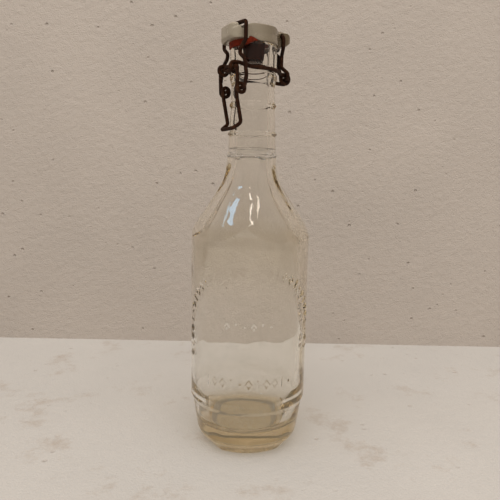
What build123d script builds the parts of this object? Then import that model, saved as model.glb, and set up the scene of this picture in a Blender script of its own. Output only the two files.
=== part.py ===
from build123d import *
from math import atan2, cos, degrees, radians, sin, tan
import os

# A clear glass bottle closed by a porcelain stopper that bent wires hold down.
# Millimetres, +Z up. The origin is the centre of the foot on the table, and
# the stopper's hinge is on the +X side of the neck, its lever on the -X side.
# A drop is measured down from the rim of the glass.

# Bottle, outside
body_radius = 34.2
glass_height = 229.6
foot_radius = 25.5
foot_round = 6.0
foot_top = 8.0
heel_height = 27.4
heel_step = 0.7
heel_taper = 1.9
shoulder_drop = 102.7
shoulder_angle = 33.7
shoulder_break_radius = 22.0
neck_blend_radius = 53.0
neck_radius = 12.4
neck_taper_angle = 2.3
neck_radius_drop = 27.6

# Shoulder panels and heel facets
panel_count = 6
panel_turn = -3.0
panel_axis_shift = 28.0
panel_ridge = 2.1
ridge_break_radius = 7.0
ridge_blend_radius = 46.0
panel_fade = 0.25
facet_turn = 246.3
facet_front_angle = 79.4
facet_back_count = 3
facet_axis_shift = 8.0
facet_depth = 0.4
facet_taper = 2.9
facet_foot_radius = 23.4

# Neck rings, from the lowest: distance below the rim, how far each stands out, and its length
ring_drops = (61.4, 49.4, 34.0)
ring_projections = (0.75, 0.85, 0.65)
ring_lengths = (2.6, 2.2, 3.0)
ring_edge_share = 0.3

# Lip, the bead under it and the wire's seat between them
lip_radius = 13.1
lip_height = 12.6
lip_round = 1.3
mouth_round = 1.6
bead_drop = 15.7
bead_length = 3.2
bead_radius = 13.2
seat_radius = 12.6

# Cavity
bore_radius = 9.0
wall = 3.3
floor_height = 13.0
floor_round = 7.0
floor_rise = 1.2
floor_taper = 5.0
floor_taper_rise = 8.0
cavity_shift = 1.2
cavity_shift_turn = 151.0
bore_end_drop = 53.6
punt_radius = 18.0
punt_height = 1.6

# Wires
wire_diameter = 2.1
wire_gap = 0.17
eye_gap = 0.26
coil_pitch = 2.18
turn_share = 0.97

# Neck wire: pivot coils on the lever side, hinge coil on the other
neck_wire_drop = 14.4
neck_arc_turns = (-126, -90, -54)
pivot_x = -15.6
pivot_drop = 14.1
pivot_coil_y = 7.7
hinge_x = 20.6
hinge_drop = 16.0

# Lever
lever_pivot_half = 10.2
lever_lap = 2.5
lever_eye_x = -12.8
lever_eye_drop = 25.1
lever_arm_half = 8.0
lever_arm_x = -14.4
lever_arm_drop = 29.6
lever_bend = 9.0
lever_knee_x = -11.6
lever_knee_drop = 43.0
lever_end_x = -15.9
lever_end_drop = 46.2

# Front bail
bail_half = 12.95
bail_x = -12.1
bail_rise = 6.5
bail_arch = 1.5
bail_cheek_drop = 1.0
bail_pinch_half = 5.6
bail_pinch_x = -12.6
bail_pinch_drop = 5.7
bail_shoulder_drop = 10.6
bail_bow_half = 15.7
bail_bow_drop = 19.3
bail_hook_half = 13.6
bail_tip_y = 6.7
bail_bend = 2.3
bail_top_bend = 1.7

# Hinge link
link_top_x = 15.8
ear_hole_rise = 4.2
link_top_half = 5.7
link_waist_half = 1.45
link_waist_x = 17.5
link_waist_top_drop = 3.6
link_waist_low_drop = 9.8
link_foot_drop = 13.0
link_bend = 1.5

# Rubber seal
seal_thickness = 1.8
seal_radius = 13.05
sleeve_top_radius = 6.4
sleeve_end_radius = 5.6
sleeve_length = 8.6
seal_fit_gap = 0.05

# Porcelain stopper
cap_radius = 13.4
cap_height = 7.7
cap_crown = 1.3
cap_underhang = 1.3
cap_corner = 2.6
cap_edge_round = 0.8
cap_gap = 0.3
lobe_half_width = 10.8
lobe_reach = 17.7
lobe_corner = 7.0
lobe_height = 5.4
lobe_slope = 2.3
groove_depth = 0.9
ear_half_width = 4.3
ear_reach = 23.0
ear_waist_x = 14.6
ear_waist_turn = 40.0
ear_height = 6.9
ear_corner = 3.9
ear_hole_gap = 0.3
boss_radius = 4.6
boss_bead_radius = 5.3
boss_bead_length = 1.4

# Sizes worked out from the ones above
wire_radius = wire_diameter / 2
coil_radius = wire_diameter + eye_gap
slope_share = tan(radians(shoulder_angle))
neck_share = tan(radians(neck_taper_angle))
lip_bottom = glass_height - lip_height
seal_top = glass_height + seal_thickness
shoulder_corner_z = glass_height - shoulder_drop
neck_radius_height = glass_height - neck_radius_drop
bead_top = glass_height - bead_drop
bore_end_z = glass_height - bore_end_drop
neck_wire_z = glass_height - neck_wire_drop
pivot_z = glass_height - pivot_drop
hinge_z = glass_height - hinge_drop
lever_eye_z = glass_height - lever_eye_drop
lever_arm_z = glass_height - lever_arm_drop
lever_knee_z = glass_height - lever_knee_drop
lever_end_z = glass_height - lever_end_drop
bail_cheek_z = glass_height - bail_cheek_drop
bail_pinch_z = glass_height - bail_pinch_drop
bail_shoulder_z = glass_height - bail_shoulder_drop
bail_bow_z = glass_height - bail_bow_drop
link_waist_top_z = glass_height - link_waist_top_drop
link_waist_low_z = glass_height - link_waist_low_drop
link_foot_z = glass_height - link_foot_drop
ring_heights = [glass_height - drop for drop in ring_drops]
link_cheek_z = glass_height
bail_z = seal_top + bail_rise
link_top_z = seal_top + ear_hole_rise
cavity_radius = body_radius - wall
groove_right = bail_x + wire_radius + cap_gap
overrun = body_radius


def neck_line(z):
    """Outer radius of the plain neck at height z."""
    return neck_radius + (neck_radius_height - z) * neck_share


def corner_on_neck(start_radius, start_z):
    """Where the shoulder's slope through (start_radius, start_z) meets the neck's line."""
    rise = (start_radius - neck_line(start_z)) / (slope_share - neck_share)
    return neck_line(start_z + rise), start_z + rise


def shoulder_points(radius, corner_z):
    """Body radius and the two corners of the shoulder's outline, going up."""
    neck_corner = corner_on_neck(radius, corner_z)
    return (radius, corner_z), neck_corner


def revolved(edges):
    """Solid of revolution about Z of an outline drawn in the XZ plane."""
    return revolve(make_face(Plane.XZ * edges), Axis.Z)


def outline(points, radii):
    """Closed outline through points, rounded at each corner whose radius isn't zero."""
    edges = []
    starts = []
    ends = []
    count = len(points)
    for index in range(count):
        before = Vector(*points[index - 1])
        here = Vector(*points[index])
        after = Vector(*points[(index + 1) % count])
        radius = radii[index]
        if radius == 0:
            starts.append(here)
            ends.append(here)
            continue
        to_before = (before - here).normalized()
        to_after = (after - here).normalized()
        half = radians(to_before.get_angle(to_after)) / 2
        reach = radius / tan(half)
        first = here + to_before * reach
        last = here + to_after * reach
        middle = here + (to_before + to_after).normalized() * (radius / sin(half) - radius)
        starts.append(first)
        ends.append(last)
        edges.append(ThreePointArc(first, middle, last))
    for index in range(count):
        edges.append(Line(ends[index], starts[(index + 1) % count]))
    return Curve() + edges


def ring_points():
    """Neck rings: a sloped upper side and a sharper lower edge each, going up."""
    points = []
    for height, projection, length in zip(ring_heights, ring_projections, ring_lengths):
        edge = length * ring_edge_share
        points += [(neck_line(height), height)]
        points += [(neck_line(height) + projection, height + edge)]
        points += [(neck_line(height) + projection, height + 2 * edge)]
        points += [(neck_line(height + length), height + length)]
    return points


def bottle_outside():
    """Glass with its round shoulder, rings and lip, before the flats are cut."""
    ridge_z = shoulder_corner_z + panel_ridge / slope_share
    corner, neck_corner = shoulder_points(body_radius, ridge_z)
    bead_bottom = bead_top - bead_length
    heel_radius = body_radius - heel_step
    rings = ring_points()
    points = [(0, punt_height)]
    points += [(punt_radius, 0), (foot_radius, 0), (heel_radius - heel_taper, foot_top)]
    points += [(heel_radius, heel_height), (body_radius, heel_height + heel_step)]
    points += [corner, neck_corner] + rings
    points += [(neck_line(bead_bottom - bead_length), bead_bottom - bead_length)]
    points += [(bead_radius, bead_bottom + heel_step), (bead_radius, bead_top - heel_step)]
    points += [(seat_radius, bead_top), (seat_radius, lip_bottom - heel_step), (lip_radius, lip_bottom)]
    points += [(lip_radius, glass_height), (0, glass_height)]
    radii = [0, 0, 0, foot_round, 0, 0, ridge_break_radius, ridge_blend_radius] + [0] * len(rings)
    radii += [0] * 6 + [lip_round, 0]
    return revolved(outline(points, radii))


def panel_cutter(turn):
    """What one flattish shoulder panel takes off: all that lies outside its own arc."""
    shift = panel_axis_shift
    corner, neck_corner = shoulder_points(body_radius + panel_fade, shoulder_corner_z)
    top = ring_heights[0]
    low = shoulder_corner_z - shoulder_break_radius
    radius = shift + body_radius + overrun
    points = [(shift + corner[0], low), (shift + corner[0], corner[1])]
    points += [(shift + neck_corner[0] + panel_fade, neck_corner[1])]
    points += [(shift + neck_line(top) + 2 * panel_fade, top), (radius, top), (radius, low)]
    radii = [0, shoulder_break_radius, neck_blend_radius / 2, 0, 0, 0]
    return Rot(0, 0, turn) * (Pos(-shift, 0, 0) * revolved(outline(points, radii)))


def facet_cutter(turn):
    """What one heel facet takes off."""
    shift = facet_axis_shift
    top_radius = body_radius - heel_step - facet_depth
    radius = shift + body_radius + overrun
    points = [(shift + facet_foot_radius, 0), (shift + top_radius - facet_taper, foot_top)]
    points += [(shift + top_radius, heel_height), (radius, heel_height)]
    points += [(radius, -foot_round), (shift + facet_foot_radius, -foot_round)]
    radii = [0, foot_round, 0, 0, 0, 0]
    return Rot(0, 0, turn) * (Pos(-shift, 0, 0) * revolved(outline(points, radii)))


def facet_turns():
    """Directions of the heel's facets: a wide one in front, the rest evenly behind it."""
    side = 360 - 2 * facet_front_angle
    step = side / facet_back_count
    turns = [facet_turn]
    turns += [facet_turn + facet_front_angle + step * index for index in range(facet_back_count + 1)]
    return turns


def cavity():
    """Room inside the glass: body and shoulder a little to one side, bore on the axis."""
    corner, neck_corner = shoulder_points(cavity_radius, shoulder_corner_z - wall / 2)
    blend_z = neck_corner[1]
    points = [(0, floor_height + floor_rise), (cavity_radius - floor_taper, floor_height)]
    points += [(cavity_radius, heel_height + floor_taper_rise), corner]
    points += [(bore_radius, blend_z + (neck_corner[0] - bore_radius) / slope_share)]
    points += [(bore_radius, bore_end_z + wall), (0, bore_end_z + wall)]
    radii = [0, floor_round, cavity_radius, shoulder_break_radius, neck_blend_radius, 0, 0]
    room = revolved(outline(points, radii))
    turn = radians(cavity_shift_turn)
    room = Pos(cavity_shift * cos(turn), cavity_shift * sin(turn), 0) * room
    return room + bore()


def bore():
    """Round way from the mouth down to the shoulder, with a rounded mouth."""
    above = glass_height + overrun
    straight = [(0, bore_end_z), (bore_radius, bore_end_z), (bore_radius, above), (0, above)]
    ring = [(bore_radius, glass_height - mouth_round), (bore_radius + mouth_round, glass_height)]
    ring += [(bore_radius, glass_height)]
    return revolved(outline(straight, [0] * 4)) + revolved(mouth_edge(ring))


def mouth_edge(ring):
    """Section of what the mouth's rounding takes off the lip's inner edge."""
    low, high, corner = [Vector(*point) for point in ring]
    centre = Vector(high.X, low.Y)
    middle = centre + (corner - centre).normalized() * mouth_round
    return Curve() + [ThreePointArc(low, middle, high), Line(high, corner), Line(corner, low)]


def make_bottle():
    """The bottle, one piece of glass."""
    glass = bottle_outside()
    for index in range(panel_count):
        glass = glass - panel_cutter(panel_turn + (index + 0.5) * 360 / panel_count)
    for turn in facet_turns():
        glass = glass - facet_cutter(turn)
    return glass - cavity()


def wire(corners):
    """Round wire along straight runs joined by tangent arcs; corners are (x, y, z, radius)."""
    points = [corner[:3] for corner in corners]
    radii = [corner[3] for corner in corners[1:-1]]
    path = FilletPolyline(*points, radius=radii)
    start = Plane(origin=path @ 0, z_dir=path % 0)
    return sweep(start * Circle(wire_radius), path=path)


def coil_corners(x, z, y_start, y_step, first, quarters, way=1):
    """Corners of a square screw about a Y axis at (x, z), which arcs make into round turns."""
    signs = [(-1, 1), (1, 1), (1, -1), (-1, -1)]
    corners = []
    for index in range(quarters):
        sign_x, sign_z = signs[(first + way * index) % 4]
        y = y_start + y_step * index / 4
        corners.append((x + sign_x * coil_radius, y, z + sign_z * coil_radius, coil_radius * turn_share))
    return corners


def mirrored(corners):
    """The same corners on the other side of the XZ plane, in reverse order."""
    return [(x, -y, z, radius) for x, y, z, radius in reversed(corners)]


def neck_arc_corners(z_start, z_end):
    """Corners that carry the wire round the neck's near side, in its seat."""
    ring = seat_radius + wire_radius + wire_gap
    half = radians(neck_arc_turns[1] - neck_arc_turns[0]) / 2
    corners = []
    for index, turn in enumerate(neck_arc_turns):
        reach = ring / cos(half)
        z = z_start + (z_end - z_start) * index / 2
        corners.append((reach * cos(radians(turn)), reach * sin(radians(turn)), z, ring * turn_share))
    return corners


def make_neck_wire():
    """One wire: pivot coil, half round the neck, hinge coil, other half, pivot coil."""
    near_coil = coil_corners(pivot_x, pivot_z, -pivot_coil_y + coil_pitch, -coil_pitch, 1, 4)
    start = (pivot_x, -pivot_coil_y + coil_pitch * 5 / 4, pivot_z + coil_radius, 0)
    leave = (pivot_x + 1.3 * coil_radius, -pivot_coil_y, pivot_z + coil_radius, coil_radius)
    near = [start] + near_coil + [leave] + neck_arc_corners(neck_wire_z + wire_gap, neck_wire_z)
    far = mirrored(near)
    side = coil_pitch * 5 / 8
    lead_x = hinge_x - 1.6 * coil_radius
    hinge = [(lead_x, -side, hinge_z + coil_radius, coil_radius)]
    hinge += coil_corners(hinge_x, hinge_z, -side, coil_pitch, 1, 6)
    hinge += [(lead_x, side, hinge_z - coil_radius, coil_radius)]
    return wire(near + hinge + far)


def make_lever():
    """Lever: its ends overlap between the pivot coils; two eyes and a curled thumb loop."""
    eye_y = lever_arm_half + coil_pitch
    step = (wire_diameter + wire_gap) / 2
    ends = [(pivot_x, lever_lap, pivot_z - step, 0), (pivot_x, -lever_lap, pivot_z - step, wire_diameter)]
    ends += [(pivot_x, -lever_lap - wire_diameter, pivot_z, wire_diameter)]
    near = [(pivot_x, -lever_pivot_half, pivot_z, wire_radius * 1.5)]
    near += coil_corners(lever_eye_x, lever_eye_z, -eye_y, coil_pitch, 3, 4, -1)
    near += [(lever_arm_x, -lever_arm_half, lever_arm_z, lever_bend)]
    near += [(lever_knee_x, -lever_arm_half, lever_knee_z, coil_radius)]
    near += [(lever_end_x, -lever_arm_half, lever_end_z, coil_radius)]
    other_ends = [(x, -y, 2 * pivot_z - z, radius) for x, y, z, radius in reversed(ends)]
    return wire(ends + near + mirrored(near) + other_ends)


def make_front_bail():
    """Bail: hooked through the lever's eyes, bowed, pinched under the stopper, arched over it."""
    near = [(lever_eye_x, -bail_tip_y, lever_eye_z, 0)]
    near += [(lever_eye_x, -bail_hook_half, lever_eye_z, bail_bend)]
    near += [(lever_eye_x, -bail_bow_half, bail_bow_z, bail_bend)]
    near += [(bail_pinch_x, -bail_half, bail_shoulder_z, bail_bend)]
    near += [(bail_pinch_x, -bail_pinch_half, bail_pinch_z, bail_bend)]
    near += [(bail_x, -bail_half, bail_cheek_z, bail_bend)]
    near += [(bail_x, -bail_half, bail_z, bail_top_bend)]
    top = [(bail_x, 0, bail_z + bail_arch, bail_half * 2)]
    return wire(near + top + mirrored(near))


def make_hinge_link():
    """Link: a narrow loop through the stopper's ear and the neck wire's hinge coil."""
    low_half = coil_pitch * 5 / 8 + wire_diameter + 2 * wire_gap
    near = [(hinge_x, -wire_gap, hinge_z, 0), (hinge_x, -low_half, hinge_z, wire_radius * 1.5)]
    near += [(hinge_x - wire_gap, -low_half, link_foot_z, link_bend)]
    near += [(link_waist_x, -link_waist_half, link_waist_low_z, link_bend)]
    near += [(link_waist_x, -link_waist_half, link_waist_top_z, link_bend)]
    near += [(link_top_x, -link_top_half, link_cheek_z, link_bend)]
    near += [(link_top_x, -link_top_half, link_top_z, link_bend)]
    return wire(near + mirrored(near))


def make_seal():
    """Rubber seal: a flange that the lip carries and a tapered sleeve in the mouth."""
    hole = boss_radius + seal_fit_gap
    sleeve_end = glass_height - sleeve_length
    points = [(hole, seal_top), (seal_radius, seal_top), (seal_radius, glass_height)]
    points += [(sleeve_top_radius, glass_height), (sleeve_end_radius, sleeve_end), (hole, sleeve_end)]
    edge = seal_thickness / 3
    return revolved(outline(points, [0, edge, edge, edge, edge, 0]))


def cap_plan():
    """Plan of the porcelain: a round middle, a rounded lobe and a waist that narrows to the ear."""
    neck_x = cap_radius * cos(radians(ear_waist_turn))
    neck_y = cap_radius * sin(radians(ear_waist_turn))
    ear = [(0, -neck_y), (neck_x, -neck_y), (ear_waist_x, -ear_half_width), (ear_reach, -ear_half_width)]
    ear += [(x, -y) for x, y in reversed(ear)]
    radii = [0, cap_corner, cap_corner, ear_half_width * turn_share]
    lobe = Pos(-lobe_reach / 2, 0) * RectangleRounded(lobe_reach, 2 * lobe_half_width, lobe_corner)
    return Circle(cap_radius) + lobe + make_face(outline(ear, radii + radii[::-1]))


def cap_side():
    """Side view of the porcelain: lobe, dome and ear, from end to end."""
    low = seal_top - cap_underhang
    points = [(-lobe_reach, low), (ear_reach, low), (ear_reach, seal_top + ear_height)]
    points += [(cap_radius, seal_top + cap_height - cap_crown), (0, seal_top + cap_height)]
    points += [(groove_right, seal_top + cap_height), (groove_right, seal_top + lobe_height)]
    points += [(bail_x - wire_radius, seal_top + lobe_height)]
    points += [(-lobe_reach, seal_top + lobe_height - lobe_slope)]
    radii = [cap_corner, ear_corner, ear_corner, cap_radius, cap_radius, 0, 0, cap_corner, cap_corner]
    return make_face(Plane.XZ * outline(points, radii))


def make_stopper():
    """Porcelain stopper: domed cap with a lobe, an ear and a groove for the bail, on a boss."""
    cap = Pos(0, 0, seal_top - cap_underhang) * extrude(cap_plan(), amount=cap_height + 2 * cap_underhang)
    cap = cap & extrude(cap_side(), amount=overrun, both=True)
    crown_radius = (cap_radius**2 + cap_crown**2) / (2 * cap_crown)
    crown = Pos(0, 0, seal_top + cap_height - crown_radius) * Rot(0, 90, 0)
    cap = cap & crown * Cylinder(crown_radius, 2 * overrun)
    seat = Pos(0, 0, seal_top - cap_underhang) * Cylinder(cap_radius + cap_gap, 2 * cap_underhang)
    hole = Pos(link_top_x, 0, link_top_z) * Rot(90, 0, 0)
    cap = cap - seat - wire_groove() - hole * Cylinder(wire_radius + ear_hole_gap, 2 * overrun)
    return cap + boss()


def wire_groove():
    """What the bail's crossbar needs cut from the cap's top, following the crown."""
    crown_radius = (cap_radius**2 + cap_crown**2) / (2 * cap_crown)
    width = 2 * (groove_right - bail_x)
    ring = Rot(0, 90, 0) * Cylinder(crown_radius - groove_depth, width)
    block = Pos(0, 0, crown_radius) * Box(width, 4 * cap_radius, 2 * crown_radius)
    return Pos(bail_x, 0, bail_z - wire_radius + groove_depth - crown_radius) * (block - ring)


def boss():
    """Boss that carries the seal, with a bead at its end."""
    sleeve_end = glass_height - sleeve_length - seal_fit_gap
    low = sleeve_end - boss_bead_length
    points = [(0, seal_top + cap_edge_round), (boss_radius, seal_top + cap_edge_round)]
    points += [(boss_radius, sleeve_end), (boss_bead_radius, sleeve_end), (boss_bead_radius, low), (0, low)]
    edge = boss_bead_length / 3
    return revolved(outline(points, [0, 0, 0, edge, edge, 0]))


def main():
    """Build every piece and write it to its own file."""
    os.makedirs("parts", exist_ok=True)
    pieces = {
        "bottle": make_bottle(),
        "stopper": make_stopper(),
        "washer": make_seal(),
        "neck_wire": make_neck_wire(),
        "hinge_link": make_hinge_link(),
        "front_bail": make_front_bail(),
        "lever": make_lever(),
    }
    for name, piece in pieces.items():
        export_step(piece, f"parts/{name}.step")


if __name__ == "__main__":
    main()
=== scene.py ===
import logging
from dataclasses import dataclass, field
from enum import Enum
from math import acos, atan2, ceil, cos, degrees, hypot, pi, radians, sin, tan

import bmesh
import bpy
import numpy as np
from mathutils import Matrix, Quaternion, Vector, noise

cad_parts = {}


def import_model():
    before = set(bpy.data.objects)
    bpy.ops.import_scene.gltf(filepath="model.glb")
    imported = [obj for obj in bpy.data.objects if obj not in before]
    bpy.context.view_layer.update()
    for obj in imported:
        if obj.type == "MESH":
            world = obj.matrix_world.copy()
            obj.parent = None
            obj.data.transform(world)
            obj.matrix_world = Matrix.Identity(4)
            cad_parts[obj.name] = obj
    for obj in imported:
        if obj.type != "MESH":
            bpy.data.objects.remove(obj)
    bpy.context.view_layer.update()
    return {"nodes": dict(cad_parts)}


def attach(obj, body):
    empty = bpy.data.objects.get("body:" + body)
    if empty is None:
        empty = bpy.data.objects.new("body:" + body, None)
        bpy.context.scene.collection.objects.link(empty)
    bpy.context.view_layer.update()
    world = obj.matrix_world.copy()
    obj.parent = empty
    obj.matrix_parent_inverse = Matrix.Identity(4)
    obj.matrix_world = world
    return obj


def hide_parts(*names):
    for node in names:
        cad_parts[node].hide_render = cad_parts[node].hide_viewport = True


# A clear glass bottle with a swing stopper, in metres and in the frame of its solids

LOG = logging.getLogger("swing_stopper_bottle")
MM = 0.001

Tone = tuple[float, float, float]
Corner = tuple[float, float, float]
Outline = list[tuple[float, float]]
Stops = list[tuple[float, Tone]]
Settings = dict[str, str | bool | Stops]
Inputs = dict[str | int, "Reading | float | tuple[float, ...]"]


class Body(Enum):
    """Bodies of the moving model that the pieces made here ride on."""

    ROOT = "root"
    STOPPER = "stopper"


class Slot(Enum):
    """Material slots of the record that the pieces made here use."""

    GLASS = "bottle_glass"
    PORCELAIN = "porcelain"
    RUBBER = "red_rubber"


class Motif(Enum):
    """Plain marks that the relief is made of."""

    LOZENGE = 0
    BAR = 1
    PIP = 2


def eased(share: float) -> float:
    """A share kept between 0 and 1, with soft ends."""
    share = max(0.0, min(1.0, share))
    return share * share * (3 - 2 * share)


def add_object(name: str, data: bpy.types.Mesh, finish: bpy.types.Material | None = None) -> bpy.types.Object:
    """Put a mesh in the scene.

    Args:
        name: the object's name.
        data: its mesh.
        finish: its material, if it has one.

    Returns:
        The object.
    """
    piece = bpy.data.objects.new(name, data)
    bpy.context.scene.collection.objects.link(piece)
    if finish is not None:
        data.materials.append(finish)
    return piece


class Reading:
    """A value in a material, which can be worked with by Python's own signs."""

    def __init__(self, bench: "Bench", socket: bpy.types.NodeSocket | None) -> None:
        """Keep the socket and the material it belongs to.

        Args:
            bench: the material's own workbench.
            socket: the output that gives the value, or nothing for a node without any.
        """
        self.bench = bench
        self.socket = socket

    def __add__(self, other: "Reading | float") -> "Reading":
        """Sum of two values."""
        return self.bench.maths("ADD", self, other)

    def __radd__(self, other: float) -> "Reading":
        """Sum with a plain number first."""
        return self.bench.maths("ADD", other, self)

    def __sub__(self, other: "Reading | float") -> "Reading":
        """Difference of two values."""
        return self.bench.maths("SUBTRACT", self, other)

    def __rsub__(self, other: float) -> "Reading":
        """Difference with a plain number first."""
        return self.bench.maths("SUBTRACT", other, self)

    def __mul__(self, other: "Reading | float") -> "Reading":
        """Product of two values."""
        return self.bench.maths("MULTIPLY", self, other)

    def __rmul__(self, other: float) -> "Reading":
        """Product with a plain number first."""
        return self.bench.maths("MULTIPLY", other, self)

    def held(self) -> "Reading":
        """The value kept between 0 and 1."""
        return self.bench.node("ShaderNodeClamp", {}, {"Value": self}, "Result")


class Bench:
    """Node tree of one material or world, with the few ways that nodes are added to it."""

    def __init__(self, name: str, for_world: bool = False) -> None:
        """Start an empty material or world.

        Args:
            name: its name.
            for_world: whether it is a world.
        """
        self.owner = bpy.data.worlds.new(name) if for_world else bpy.data.materials.new(name)
        self.owner.use_nodes = True
        self.tree = self.owner.node_tree
        self.tree.nodes.clear()

    def node(self, kind: str, settings: Settings, inputs: Inputs, output: str | int = 0) -> Reading:
        """Add one node.

        Args:
            kind: the node's type.
            settings: the node's own properties, and under "stops" a ramp's stops.
            inputs: what each socket gets, a number, a colour or another reading.
            output: name or number of the output that is wanted.

        Returns:
            The reading at that output.
        """
        made = self.tree.nodes.new(kind)
        for name, value in settings.items():
            if name == "stops":
                self.set_stops(made.color_ramp, value)
            else:
                setattr(made, name, value)
        for name, value in inputs.items():
            socket = made.inputs[name]
            if isinstance(value, Reading):
                self.tree.links.new(value.socket, socket)
            else:
                socket.default_value = value
        if not made.outputs:
            return Reading(self, None)
        return Reading(self, made.outputs[output])

    @staticmethod
    def set_stops(ramp: bpy.types.ColorRamp, stops: Stops) -> None:
        """Give a colour ramp its stops.

        Args:
            ramp: the ramp.
            stops: place and colour of each stop.
        """
        while len(ramp.elements) < len(stops):
            ramp.elements.new(1.0)
        for element, (place, tone) in zip(ramp.elements, stops):
            element.position = place
            element.color = (*tone, 1.0)

    def maths(self, operation: str, first: "Reading | float", second: "Reading | float") -> Reading:
        """Work out a sum, product or the like of two values.

        Args:
            operation: name of the operation.
            first: first value.
            second: second value.

        Returns:
            The result.
        """
        return self.node("ShaderNodeMath", {"operation": operation}, {0: first, 1: second})

    def blend(self, share: Reading, first: "Reading | Tone", second: "Reading | Tone") -> Reading:
        """Mix two colours.

        Args:
            share: how much of the second colour shows.
            first: first colour.
            second: second colour.

        Returns:
            The mixed colour.
        """
        tones = [value if isinstance(value, Reading) else (*value, 1.0) for value in (first, second)]
        return self.node("ShaderNodeMix", {"data_type": "RGBA"}, {0: share, 6: tones[0], 7: tones[1]}, 2)

    def place(self) -> Reading:
        """Place on the object, in metres."""
        return self.node("ShaderNodeTexCoord", {}, {}, "Object")

    def reach(self) -> Reading:
        """Distance from the bottle's axis, in metres."""
        level = self.node("ShaderNodeVectorMath", {"operation": "MULTIPLY"}, {0: self.place(), 1: (1, 1, 0)})
        return self.node("ShaderNodeVectorMath", {"operation": "LENGTH"}, {0: level}, "Value")

    def height(self) -> Reading:
        """Height above the table, in metres."""
        return self.node("ShaderNodeSeparateXYZ", {}, {"Vector": self.place()}, "Z")

    def grain(self, scale: float, detail: float = 4.0, rough: float = 0.5) -> Reading:
        """Soft random pattern.

        Args:
            scale: how many features there are to a metre.
            detail: how many finer layers are added.
            rough: how strong those layers are.

        Returns:
            A value about 0.5.
        """
        inputs = {"Vector": self.place(), "Scale": scale, "Detail": detail, "Roughness": rough}
        return self.node("ShaderNodeTexNoise", {}, inputs, "Fac")

    def ramp(self, value: Reading, stops: Stops) -> Reading:
        """Colour read from a value.

        Args:
            value: the value.
            stops: place and colour of each stop.

        Returns:
            The colour.
        """
        return self.node("ShaderNodeValToRGB", {"stops": stops}, {"Fac": value}, "Color")

    def step(self, value: Reading, low: float, high: float) -> Reading:
        """Value stretched so that it goes from 0 at one limit to 1 at the other.

        Args:
            value: the value.
            low: where the result is 0.
            high: where the result is 1.

        Returns:
            The stretched value, kept between 0 and 1.
        """
        inputs = {"Value": value, "From Min": low, "From Max": high}
        return self.node("ShaderNodeMapRange", {"clamp": True}, inputs, "Result")

    def bump(self, height: Reading, depth: float, strength: float = 1.0) -> Reading:
        """Small relief.

        Args:
            height: the relief, from 0 to 1.
            depth: its depth in metres.
            strength: how much of it shows.

        Returns:
            The normal.
        """
        inputs = {"Height": height, "Distance": depth, "Strength": strength}
        return self.node("ShaderNodeBump", {}, inputs, "Normal")

    def surface(self, shader: Reading, within: Reading | None = None) -> bpy.types.Material:
        """Make a shader the material's surface.

        Args:
            shader: the shader.
            within: what the light meets inside, if anything.

        Returns:
            The finished material.
        """
        inputs = {"Surface": shader} if within is None else {"Surface": shader, "Volume": within}
        self.node("ShaderNodeOutputMaterial", {}, inputs)
        return self.owner

    def principled(self, inputs: Inputs) -> Reading:
        """General surface with the given sockets."""
        return self.node("ShaderNodeBsdfPrincipled", {}, inputs, "BSDF")


@dataclass(frozen=True)
class BottleGlass:
    """Moulded glass, straw-brown where light runs far inside it, with a little dull film."""

    clear: Tone = (1.0, 1.0, 0.995)
    shadow: Tone = (0.93, 0.92, 0.90)
    depth_tone: Tone = (0.80, 0.64, 0.26)
    depth: float = 13.0
    stain: Tone = (0.945, 0.93, 0.88)
    stain_low: float = 84.0 * MM
    stain_high: float = 127.0 * MM
    film: Tone = (0.50, 0.42, 0.30)
    film_share: float = 0.12
    film_least: float = 0.02
    film_low: float = 132.0 * MM
    film_high: float = 160.0 * MM
    deposit: Tone = (0.74, 0.60, 0.38)
    foot_share: float = 0.26
    foot_low: float = 7.0 * MM
    foot_high: float = 13.0 * MM
    floor_share: float = 0.06
    floor_low: float = 16.0 * MM
    floor_high: float = 24.0 * MM
    lit_share: float = 0.86

    def make(self) -> bpy.types.Material:
        """Build the material.

        Returns:
            The material.
        """
        bench = Bench("moulded_glass")
        normal = bench.bump(bench.grain(55.0, 2.0), 0.00025, 0.35)
        height = bench.height()
        patches = bench.step(bench.grain(38.0, 3.0), 0.3, 0.7)
        stained = bench.step(height, self.stain_low, self.stain_low + 0.03) * (0.6 + patches * 0.4)
        edge = 1.0 - bench.step(height, self.stain_high, self.stain_high + 0.004)
        glass = bench.principled({
            "Base Color": bench.blend(stained * edge, self.clear, self.stain), "Roughness": 0.0, "IOR": 1.5,
            "Transmission Weight": 1.0, "Normal": normal,
        })
        footed = 1.0 - bench.step(height, self.foot_low, self.foot_high)
        floored = 1.0 - bench.step(height, self.floor_low, self.floor_high)
        film_tone = bench.blend(floored, self.film, self.deposit)
        film = bench.principled({"Base Color": film_tone, "Roughness": 0.6})
        seeds = bench.step(bench.grain(1400.0, 1.0), 0.35, 0.7)
        dust = bench.step(bench.grain(90.0, 6.0, 0.7), 0.42, 0.78) * seeds
        below = 1.0 - bench.step(height, self.film_low, self.film_high)
        cover = (dust * self.film_share + self.film_least) * below
        cover = (cover + footed * self.foot_share + floored * self.floor_share).held()
        dusty = bench.node("ShaderNodeMixShader", {}, {0: cover, 1: glass, 2: film})
        shaded = bench.node("ShaderNodeLightPath", {}, {}, "Is Shadow Ray")
        clear = bench.node("ShaderNodeBsdfTransparent", {}, {"Color": (*self.shadow, 1.0)})
        within = bench.node(
            "ShaderNodeVolumeAbsorption", {}, {"Color": (*self.depth_tone, 1.0), "Density": self.depth}
        )
        skin = bench.node("ShaderNodeMixShader", {}, {0: shaded * self.lit_share, 1: dusty, 2: clear})
        return bench.surface(skin, within)


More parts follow.
